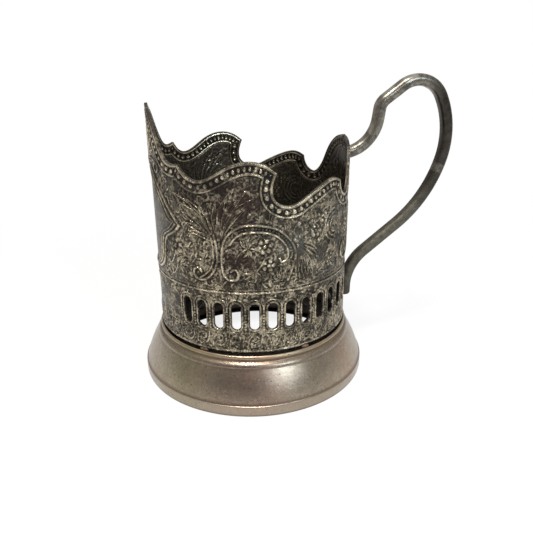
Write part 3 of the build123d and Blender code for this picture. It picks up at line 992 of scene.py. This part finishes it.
# %% Node helpers
class Network:
    """A node tree with short ways to add to it."""

    def __init__(self, tree):
        self.tree = tree

    def feed(self, socket, value):
        """Link the input if the value is a socket, and set it if not."""
        if isinstance(value, bpy.types.NodeSocket):
            self.tree.links.new(value, socket)
        else:
            socket.default_value = value

    def add(self, kind, **inputs):
        """A new node with its named inputs fed."""
        node = self.tree.nodes.new(kind)
        for key, value in inputs.items():
            self.feed(node.inputs[key], value)
        return node

    def maths(self, kind, a, b):
        """One step of arithmetic on two values."""
        node = self.add("ShaderNodeMath")
        node.operation = kind
        self.feed(node.inputs[0], a)
        self.feed(node.inputs[1], b)
        return node.outputs[0]

    def times(self, a, b):
        return self.maths("MULTIPLY", a, b)

    def plus(self, a, b):
        return self.maths("ADD", a, b)

    def minus(self, a, b):
        return self.maths("SUBTRACT", a, b)

    def remap(self, value, low, high, to_low=0.0, to_high=1.0):
        """Carry value from low..high to to_low..to_high with soft ends."""
        node = self.add("ShaderNodeMapRange", Value=value)
        node.interpolation_type = "SMOOTHSTEP"
        for key, number in (("From Min", low), ("From Max", high), ("To Min", to_low), ("To Max", to_high)):
            node.inputs[key].default_value = number
        return node.outputs["Result"]

    def between(self, value, low, full, still_full, high):
        """1 from full to still_full, fading to 0 at low and at high."""
        return self.times(self.remap(value, low, full), self.remap(value, high, still_full))

    def mix(self, share, a, b):
        """Colour a where share is 0 and b where it is 1."""
        node = self.add("ShaderNodeMix")
        node.data_type = "RGBA"
        for number, value in ((0, share), (6, a), (7, b)):
            self.feed(node.inputs[number], (*value, 1) if isinstance(value, tuple) else value)
        return node.outputs[2]

    def stain(self, colour, mask, share, shade):
        """Lay a shade over a colour where the mask is, up to a share."""
        return self.mix(self.times(mask, share), colour, shade)

    def ramp(self, value, stops):
        """Colour read from a row of stops along 0 to 1."""
        node = self.add("ShaderNodeValToRGB", Fac=value)
        while len(node.color_ramp.elements) < len(stops):
            node.color_ramp.elements.new(0.5)
        for element, (place, colour) in zip(node.color_ramp.elements, stops):
            element.position = place
            element.color = (*colour, 1)
        return node.outputs[0]

    def noise(self, vector, scale, detail=3.0, rough=0.55):
        """Cloudy value from 0 to 1 at a given scale per metre."""
        node = self.add("ShaderNodeTexNoise", Vector=vector, Scale=scale, Detail=detail, Roughness=rough)
        return node.outputs[0]

    def attribute(self, name):
        """Value that the mesh carries at each point."""
        node = self.add("ShaderNodeAttribute")
        node.attribute_name = name
        return node.outputs["Fac"]


print("ways to add to a network:", [name for name in vars(Network) if name[0] != "_"])

# %% [markdown]
# Old plate has the same faults on every piece: clouds of tarnish, blotches, flakes, a fine grain, dark
# pits and pale specks. One node group gives them all as masks, and each metal places it with its own
# scale and uses the masks in its own way. The first four are clouds of noise, cut off at two levels; the
# last two are spots in some cells of a cell pattern.

# %% Tarnish group
cloudy_masks = [
    ("Cloud", 60.0, 4.0, 0.6, 0.34, 0.66),
    ("Blotch", 260.0, 4.0, 0.62, 0.36, 0.64),
    ("Flakes", 780.0, 5.0, 0.72, 0.48, 0.58),
    ("Grain", 1500.0, 3.0, 0.6, 0.3, 0.7),
]
spotty_masks = [("Pits", 760.0, 0.24), ("Specks", 620.0, 0.2)]
tarnish = bpy.data.node_groups.new("old_plate_tarnish", "ShaderNodeTree")
tarnish.interface.new_socket("Vector", in_out="INPUT", socket_type="NodeSocketVector")
tarnish.interface.new_socket("Size", in_out="INPUT", socket_type="NodeSocketFloat")
for row in cloudy_masks + spotty_masks:
    tarnish.interface.new_socket(row[0], in_out="OUTPUT", socket_type="NodeSocketFloat")
faults = Network(tarnish)
entry = faults.add("NodeGroupInput").outputs
leave = faults.add("NodeGroupOutput").inputs
for mask, scale, detail, rough, low, high in cloudy_masks:
    clouds = faults.noise(entry["Vector"], faults.times(entry["Size"], scale), detail, rough)
    faults.feed(leave[mask], faults.remap(clouds, low, high))
for mask, scale, reach in spotty_masks:
    cell_scale = faults.times(entry["Size"], scale)
    cell = faults.add("ShaderNodeTexVoronoi", Vector=entry["Vector"], Scale=cell_scale).outputs
    lot = faults.add("ShaderNodeSeparateColor", Color=cell["Color"]).outputs[0]
    spot = faults.remap(cell["Distance"], reach, 0.05)
    faults.feed(leave[mask], faults.times(faults.remap(lot, 0.56, 0.64), spot))
print("tarnish masks:", [socket.name for socket in leave if socket.name])


# %% Metal base
class Metal(Network):
    """A new material: its shader joined to the output, Object coordinates, and the tarnish masks on them."""

    def __init__(self, name, size):
        self.material = bpy.data.materials.new(name)
        self.material.use_nodes = True
        super().__init__(self.material.node_tree)
        self.tree.nodes.clear()
        self.shader = self.add("ShaderNodeBsdfPrincipled")
        self.add("ShaderNodeOutputMaterial", Surface=self.shader.outputs[0])
        self.where = self.add("ShaderNodeTexCoord").outputs["Object"]
        group = self.add("ShaderNodeGroup")
        group.node_tree = tarnish
        self.feed(group.inputs["Vector"], self.where)
        self.feed(group.inputs["Size"], size)
        self.masks = group.outputs

    def finish(self, colour, rough, metallic, bumps, depth, strength=1.0):
        """Wire colour, roughness, metallic and a bump of a depth in millimetres to the shader."""
        bump = self.add("ShaderNodeBump", Height=bumps, Distance=depth * MM, Strength=strength)
        wires = {"Base Color": colour, "Roughness": rough, "Metallic": metallic, "Normal": bump.outputs[0]}
        for key, value in wires.items():
            self.feed(self.shader.inputs[key], value)
        print(self.material.name, "has", len(self.tree.nodes), "nodes")


print("a metal also has:", [name for name in vars(Metal) if name[0] != "_"])

# %% [markdown]
# The sleeve is blackened silver plate. Hollows stay nearly black and the ridges are rubbed to a pale,
# warm silver, but not evenly: flakes of lost plate show beige on the flat ground too, some fields are
# brown or cool grey, and a few spots have rusted. Towards the window the pale tone is painted window light
# and the cool grey partly a painted reflection. The wear values of the mesh say where the ridges are, and on
# the rim border they also carry painted highlights; the tarnish masks break them up. A painted image could
# do this too, but wear that is worked out from the relief always lies on the ridges.

# %% Sleeve metal
sleeve_metal = Metal("blackened_silver_plate", 1.0)
net, masks = sleeve_metal, sleeve_metal.masks
fleck = net.attribute("fleck")
# Rubbed value: wear of the relief, with the painted highlights of the rim border and, through the tone, the
# painted window light.
rubbed = net.remap(net.attribute("wear"), -0.2, 0.22, -0.6, 0.68)
rubbed = net.times(rubbed, net.remap(masks["Blotch"], 0, 1, 0.6, 1.1))
for mask, gain in (("Grain", 0.5), ("Blotch", 0.2)):
    rubbed = net.plus(rubbed, net.times(net.times(net.minus(masks[mask], 0.5), gain), fleck))
rubbed = net.plus(rubbed, net.times(net.minus(masks["Cloud"], 0.5), 0.16))
rubbed = net.plus(rubbed, net.times(net.attribute("tone"), 0.15))
rubbed = net.plus(rubbed, net.remap(net.attribute("inside"), 0, 1, 0.335, 0.28))
colour = net.ramp(rubbed, [
    (0.0, (0.007, 0.006, 0.005)),
    (0.28, (0.042, 0.034, 0.024)),
    (0.5, (0.126, 0.105, 0.073)),
    (0.74, (0.335, 0.284, 0.198)),
    (1.0, (0.66, 0.575, 0.42)),
])
# Cool grey on the dark ground: partly stain, partly a painted reflection of the window.
cool = net.times(net.attribute("cool"), net.remap(rubbed, 0.7, 0.3))
brown = net.times(net.attribute("red"), net.remap(rubbed, 0.75, 0.3, 0, 0.7))
flakes = net.times(masks["Flakes"], net.remap(masks["Blotch"], 0.25, 0.75))
flakes = net.times(flakes, fleck)
rust = net.times(masks["Specks"], masks["Cloud"])
for mask, share, shade in (
    (cool, 0.45, (0.092, 0.096, 0.092)),
    (brown, 1.0, (0.042, 0.022, 0.017)),
    (flakes, 0.85, (0.43, 0.368, 0.262)),
    (rust, 0.6, (0.22, 0.105, 0.045)),
):
    colour = net.stain(colour, mask, share, shade)
rough = net.plus(net.remap(rubbed, 0.2, 0.8, 0.44, 0.22), net.times(flakes, 0.15))
metallic = net.remap(rubbed, 0.2, 0.7, 0.7, 0.95)
net.finish(colour, rough, metallic, net.times(masks["Grain"], fleck), 0.16, 0.8)
for piece in panels + [rim_border]:
    piece.data.materials.append(sleeve_metal.material)

# %% [markdown]
# The foot is satin plate, pale and warm, with olive and mauve stains, dark pits and a dark brown line
# where the flare meets the band. Round the front the olive and mauve are partly painted reflections of the
# room, the band under the groove and the lowest millimetre are darkened as painted shade, and the inside
# and underside are painted near black as shade. The stains and reflections come from the mesh and from slow
# clouds, the lines from the height over the table, and faint rings from the lathe follow the run of the
# profile.

# %% Foot metal
foot_metal = Metal("satin_plate", 1.0)
net, masks = foot_metal, foot_metal.masks
level = net.times(net.add("ShaderNodeSeparateXYZ", Vector=net.where).outputs["Z"], 1 / MM)
# The mauve and olive patches are partly painted reflections of the room round the front.
mauve_stain = net.times(net.attribute("mauve"), net.remap(masks["Cloud"], 0, 1, 0.6, 0.95))
brass_edge = net.times(net.remap(level, 16.5, 18.2), masks["Blotch"])
colour = net.mix(masks["Cloud"], (0.345, 0.295, 0.232), (0.29, 0.235, 0.168))
for mask, share, shade in (
    (net.attribute("olive"), 0.8, (0.25, 0.215, 0.125)),
    (mauve_stain, 1.0, (0.37, 0.236, 0.180)),
    (masks["Blotch"], 0.2, (0.19, 0.15, 0.11)),
    (masks["Flakes"], 0.22, (0.44, 0.39, 0.31)),
    # Painted shade: the band under the groove is darkened against the bright reflection of the room above
    # it.
    (net.between(level, 13.8, 15.0, 16.2, 16.8), 0.32, (0.17, 0.138, 0.105)),
    (net.between(level, 16.0, 16.8, 17.4, 17.9), 0.6, (0.10, 0.068, 0.045)),
    (net.remap(masks["Grain"], 0.3, 0.0), 0.35, (0.13, 0.10, 0.075)),
    (net.remap(masks["Grain"], 0.75, 1.0), 0.3, (0.45, 0.40, 0.33)),
    (net.between(level, 3.5, 4.1, 4.3, 5.2), 0.55, (0.11, 0.06, 0.04)),
    (net.remap(level, 4.2, 3.7), 0.5, (0.34, 0.285, 0.225)),
    # Painted shade on the lowest millimetre, where the foot turns under towards the table.
    (net.remap(level, 1.2, 0.2), 0.7, (0.07, 0.055, 0.042)),
    (brass_edge, 0.5, (0.40, 0.30, 0.15)),
    (masks["Pits"], 0.85, (0.045, 0.032, 0.025)),
    (masks["Specks"], 0.4, (0.6, 0.56, 0.48)),
):
    colour = net.stain(colour, mask, share, shade)
# Painted shade: the inside and underside of the foot are near black.
under_side = net.mix(masks["Blotch"], (0.018, 0.015, 0.012), (0.045, 0.036, 0.028))
colour = net.mix(net.attribute("hidden"), colour, under_side)
lathe = net.add("ShaderNodeTexNoise", Scale=9.0, Detail=3.0)
lathe.noise_dimensions = "1D"
net.feed(lathe.inputs["W"], net.attribute("run"))
uneven = net.plus(net.times(lathe.outputs[0], 0.5), net.times(masks["Grain"], 0.5))
rough = net.remap(masks["Cloud"], 0, 1, 0.255, 0.31)
net.finish(colour, rough, 0.92, net.minus(uneven, masks["Pits"]), 0.05, 0.6)
foot.data.materials.append(foot_metal.material)

# %% [markdown]
# The handle is the same plate, handled for years: mottled olive grey on the lower run, nearly black on
# its back, and bright again over the top and down the neck, partly worn where the thumb rests and partly a
# painted highlight of the lamp above. The way along the rod, in millimetres from its foot, picks the zone.

# %% Handle metal
handle_metal = Metal("handled_plate", 1.2)
net, masks = handle_metal, handle_metal.masks
way = net.attribute("run")
outward = net.attribute("back")
olive_run = net.mix(masks["Blotch"], (0.066, 0.059, 0.045), (0.155, 0.145, 0.112))
black_back = net.mix(masks["Blotch"], (0.012, 0.009, 0.008), (0.040, 0.034, 0.029))
worn_back = net.times(net.remap(outward, 0.4, 1.9), masks["Flakes"])
black_back = net.stain(black_back, worn_back, 0.6, (0.15, 0.13, 0.105))
# Pale top and neck: partly worn plate, partly a painted highlight of the lamp above.
bright_top = net.mix(masks["Blotch"], (0.30, 0.272, 0.225), (0.09, 0.079, 0.064))
patch = net.times(net.between(way, 59.4, 60.2, 62.6, 63.4), net.remap(outward, 1.3, 0.7))
patch = net.times(patch, net.remap(masks["Flakes"], 0, 1, 0.4, 0.9))
dark_share = net.plus(net.remap(way, 42, 58), net.remap(masks["Blotch"], 0, 1, -0.2, 0.2))
colour = net.mix(dark_share, olive_run, black_back)
for mask, share, shade in (
    (net.remap(masks["Flakes"], 0.2, 1), 0.55, (0.048, 0.041, 0.032)),
    (patch, 1.0, (0.17, 0.15, 0.122)),
    (net.remap(way, 86, 99), 1.0, bright_top),
    (net.remap(way, 7, 1), 0.75, (0.05, 0.043, 0.035)),
    (masks["Cloud"], 0.22, (0.12, 0.105, 0.08)),
    (masks["Pits"], 0.6, (0.035, 0.03, 0.024)),
    (masks["Specks"], 0.2, (0.42, 0.38, 0.3)),
):
    colour = net.stain(colour, mask, share, shade)
rough = net.plus(net.remap(way, 50, 98, 0.5, 0.22), net.times(masks["Blotch"], 0.12))
net.finish(colour, rough, 0.85, net.minus(masks["Blotch"], masks["Pits"]), 0.08, 0.35)
handle.data.materials.append(handle_metal.material)

# %% [markdown]
# Solder is a dull grey metal with rusty flux stains on it. The seam, the pad and the collar keep the
# shapes of the solid model and only take this finish.

# %% Solder
solder_metal = Metal("stained_solder", 2.0)
net, masks = solder_metal, solder_metal.masks
colour = net.mix(masks["Blotch"], (0.18, 0.15, 0.115), (0.17, 0.075, 0.032))
colour = net.stain(colour, masks["Cloud"], 0.6, (0.06, 0.05, 0.04))
net.finish(colour, net.remap(masks["Grain"], 0, 1, 0.42, 0.6), 0.75, masks["Blotch"], 0.12)
drops.data.materials.append(solder_metal.material)
for node in ("sleeve_seam_solder", "handle_solder_upper", "handle_solder_lower"):
    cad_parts[node].data.materials.clear()
    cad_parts[node].data.materials.append(solder_metal.material)

# %% [markdown]
# The holder stands on a pale table in a bright room. Table and room are plain white to the eye, in the
# picture and in reflections, but light the holder only gently. A mix of a matt paint and a white glow
# does that: the glow is for rays that come from the camera, off metal or through glass, and near the foot
# the paint shows a soft shadow.

# %% Table
bpy.ops.mesh.primitive_plane_add(size=6, location=(0, 0, 0))
table = bpy.context.object
table.name = "table"


def seen_by_eye(network):
    """1 for rays that show the background: from the camera, off metal or through glass."""
    path = network.add("ShaderNodeLightPath").outputs
    mirrored = network.maths("MAXIMUM", path["Is Glossy Ray"], path["Is Transmission Ray"])
    return network.maths("MAXIMUM", path["Is Camera Ray"], mirrored)


pale_table = bpy.data.materials.new("pale_table")
pale_table.use_nodes = True
net = Network(pale_table.node_tree)
paint = net.tree.nodes["Principled BSDF"]
paint.inputs["Roughness"].default_value = 0.9
paint.inputs["Specular IOR Level"].default_value = 0.1
where = net.add("ShaderNodeTexCoord").outputs["Object"]
net.feed(paint.inputs["Base Color"], net.mix(net.noise(where, 40.0), (0.9, 0.9, 0.9), (0.93, 0.93, 0.93)))
span = net.add("ShaderNodeVectorMath", Vector=where)
span.operation = "LENGTH"
away = net.remap(span.outputs["Value"], 0.06, 0.25, 0.82, 1.0)
white = net.add("ShaderNodeEmission", Color=(1, 1, 1, 1), Strength=1.0)
both = net.add("ShaderNodeMixShader", Fac=net.times(away, seen_by_eye(net)))
net.feed(both.inputs[1], paint.outputs[0])
net.feed(both.inputs[2], white.outputs[0])
net.feed(net.tree.nodes["Material Output"].inputs[0], both.outputs[0])
table.data.materials.append(pale_table)
print("table:", len(pale_table.node_tree.nodes), "nodes")

# %% Bright room
world = bpy.data.worlds.new("bright_room")
scene.world = world
world.use_nodes = True
net = Network(world.node_tree)
net.tree.nodes.clear()
strength = net.remap(seen_by_eye(net), 0, 1, 0.4, 1.0)
room = net.add("ShaderNodeBackground", Color=(1, 1, 1, 1), Strength=strength)
net.add("ShaderNodeOutputWorld", Surface=room.outputs[0])
print("room:", len(world.node_tree.nodes), "nodes")

# %% [markdown]
# Metal looks like what it mirrors. In a white room all of it would be pale, so a ring of wall stands
# round the table that only glossy rays see: dark towards the viewer, lighter at the sides, with a bluish
# window at the front right. Its brightness is carried by the points of the ring.

# %% Room wall
WALL_RADIUS = 600.0
VIEWER_SIDE = 262.0
WINDOW_SIDE = 296.0
WINDOW_GAIN = 4.6
ring_turn, ring_up = np.meshgrid(np.arange(0, 360, 3.0), np.linspace(10, 520, 18))
from_viewer = np.abs((ring_turn - VIEWER_SIDE + 180) % 360 - 180)
glow = 0.17 + 0.38 * smooth_step(from_viewer, 35, 100) + 0.18 * lobe(ring_turn, 205, 14)
window = lobe(ring_turn, WINDOW_SIDE, 5) * smooth_step(ring_up, 180, 260) * smooth_step(ring_up, 440, 380)
glow += WINDOW_GAIN * window
ring_x = WALL_RADIUS * np.cos(np.radians(ring_turn))
ring_y = WALL_RADIUS * np.sin(np.radians(ring_turn))
ring_points = np.stack([ring_x, ring_y, ring_up], -1).reshape(-1, 3)
room_wall = make_object(
    "room_wall", ring_points, grid_quads(*ring_turn.shape, wrap=True),
    {"glow": glow.ravel(), "window": smooth_step(window, 0.05, 0.3).ravel()},
)
for ray in ("camera", "diffuse", "transmission", "shadow", "volume_scatter"):
    setattr(room_wall, "visible_" + ray, False)
room_shade = bpy.data.materials.new("room_shade")
room_shade.use_nodes = True
net = Network(room_shade.node_tree)
net.tree.nodes.clear()
tint = net.mix(net.attribute("window"), (1.0, 0.97, 0.94), (0.34, 0.72, 1.0))
shine = net.add("ShaderNodeEmission", Color=tint, Strength=net.attribute("glow"))
net.add("ShaderNodeOutputMaterial", Surface=shine.outputs[0])
room_wall.data.materials.append(room_shade)

# %% [markdown]
# A soft lamp hangs over the table and a cooler one stands where the window is. The camera looks from the
# front left and a little above; its place and lens were found by matching the rim, the foot and the
# handle to the picture.

# %% Lamps
def look(place, aim):
    """Turn that points an object's -Z axis from one place to another, with Y upwards."""
    return (Vector(aim) - Vector(place)).to_track_quat("-Z", "Y")


def soft_lamp(name, place, aim, size, power, colour):
    """Square area lamp that looks from one point to another."""
    lamp = bpy.data.lights.new(name, "AREA")
    lamp.size = size
    lamp.energy = power
    lamp.color = colour
    holder = bpy.data.objects.new(name, lamp)
    holder.location = place
    holder.rotation_euler = look(place, aim).to_euler()
    scene.collection.objects.link(holder)


soft_lamp("ceiling_lamp", (-0.12, -0.32, 0.85), (0, 0, 0.05), 0.22, 7.0, (1.0, 0.97, 0.93))
soft_lamp("window_lamp", (0.32, -0.72, 0.42), (0, 0, 0.03), 0.14, 3.4, (0.80, 0.91, 1.0))
print("lamps:", [lamp.name for lamp in bpy.data.lights])

# %% Camera
EYE = Vector((-0.03089, -0.18888, 0.11206))
TARGET = Vector((0.00527, -0.00101, 0.03705))
CAMERA_ROLL = math.radians(-0.6)
camera = bpy.data.objects.new("camera", bpy.data.cameras.new("camera"))
scene.collection.objects.link(camera)
camera.data.sensor_width = 36.0
camera.data.lens = 37.02
camera.data.clip_start = 0.01
turn = look(EYE, TARGET).to_matrix().to_4x4()
camera.matrix_world = Matrix.Translation(EYE) @ turn @ Matrix.Rotation(CAMERA_ROLL, 4, "Z")
scene.camera = camera
scene.view_settings.view_transform = "Standard"
print("camera:", round((TARGET - EYE).length / MM), "mm from its target")

# %% [markdown]
# Last, the view layer is brought up to date.

# %% Close
bpy.context.view_layer.update()
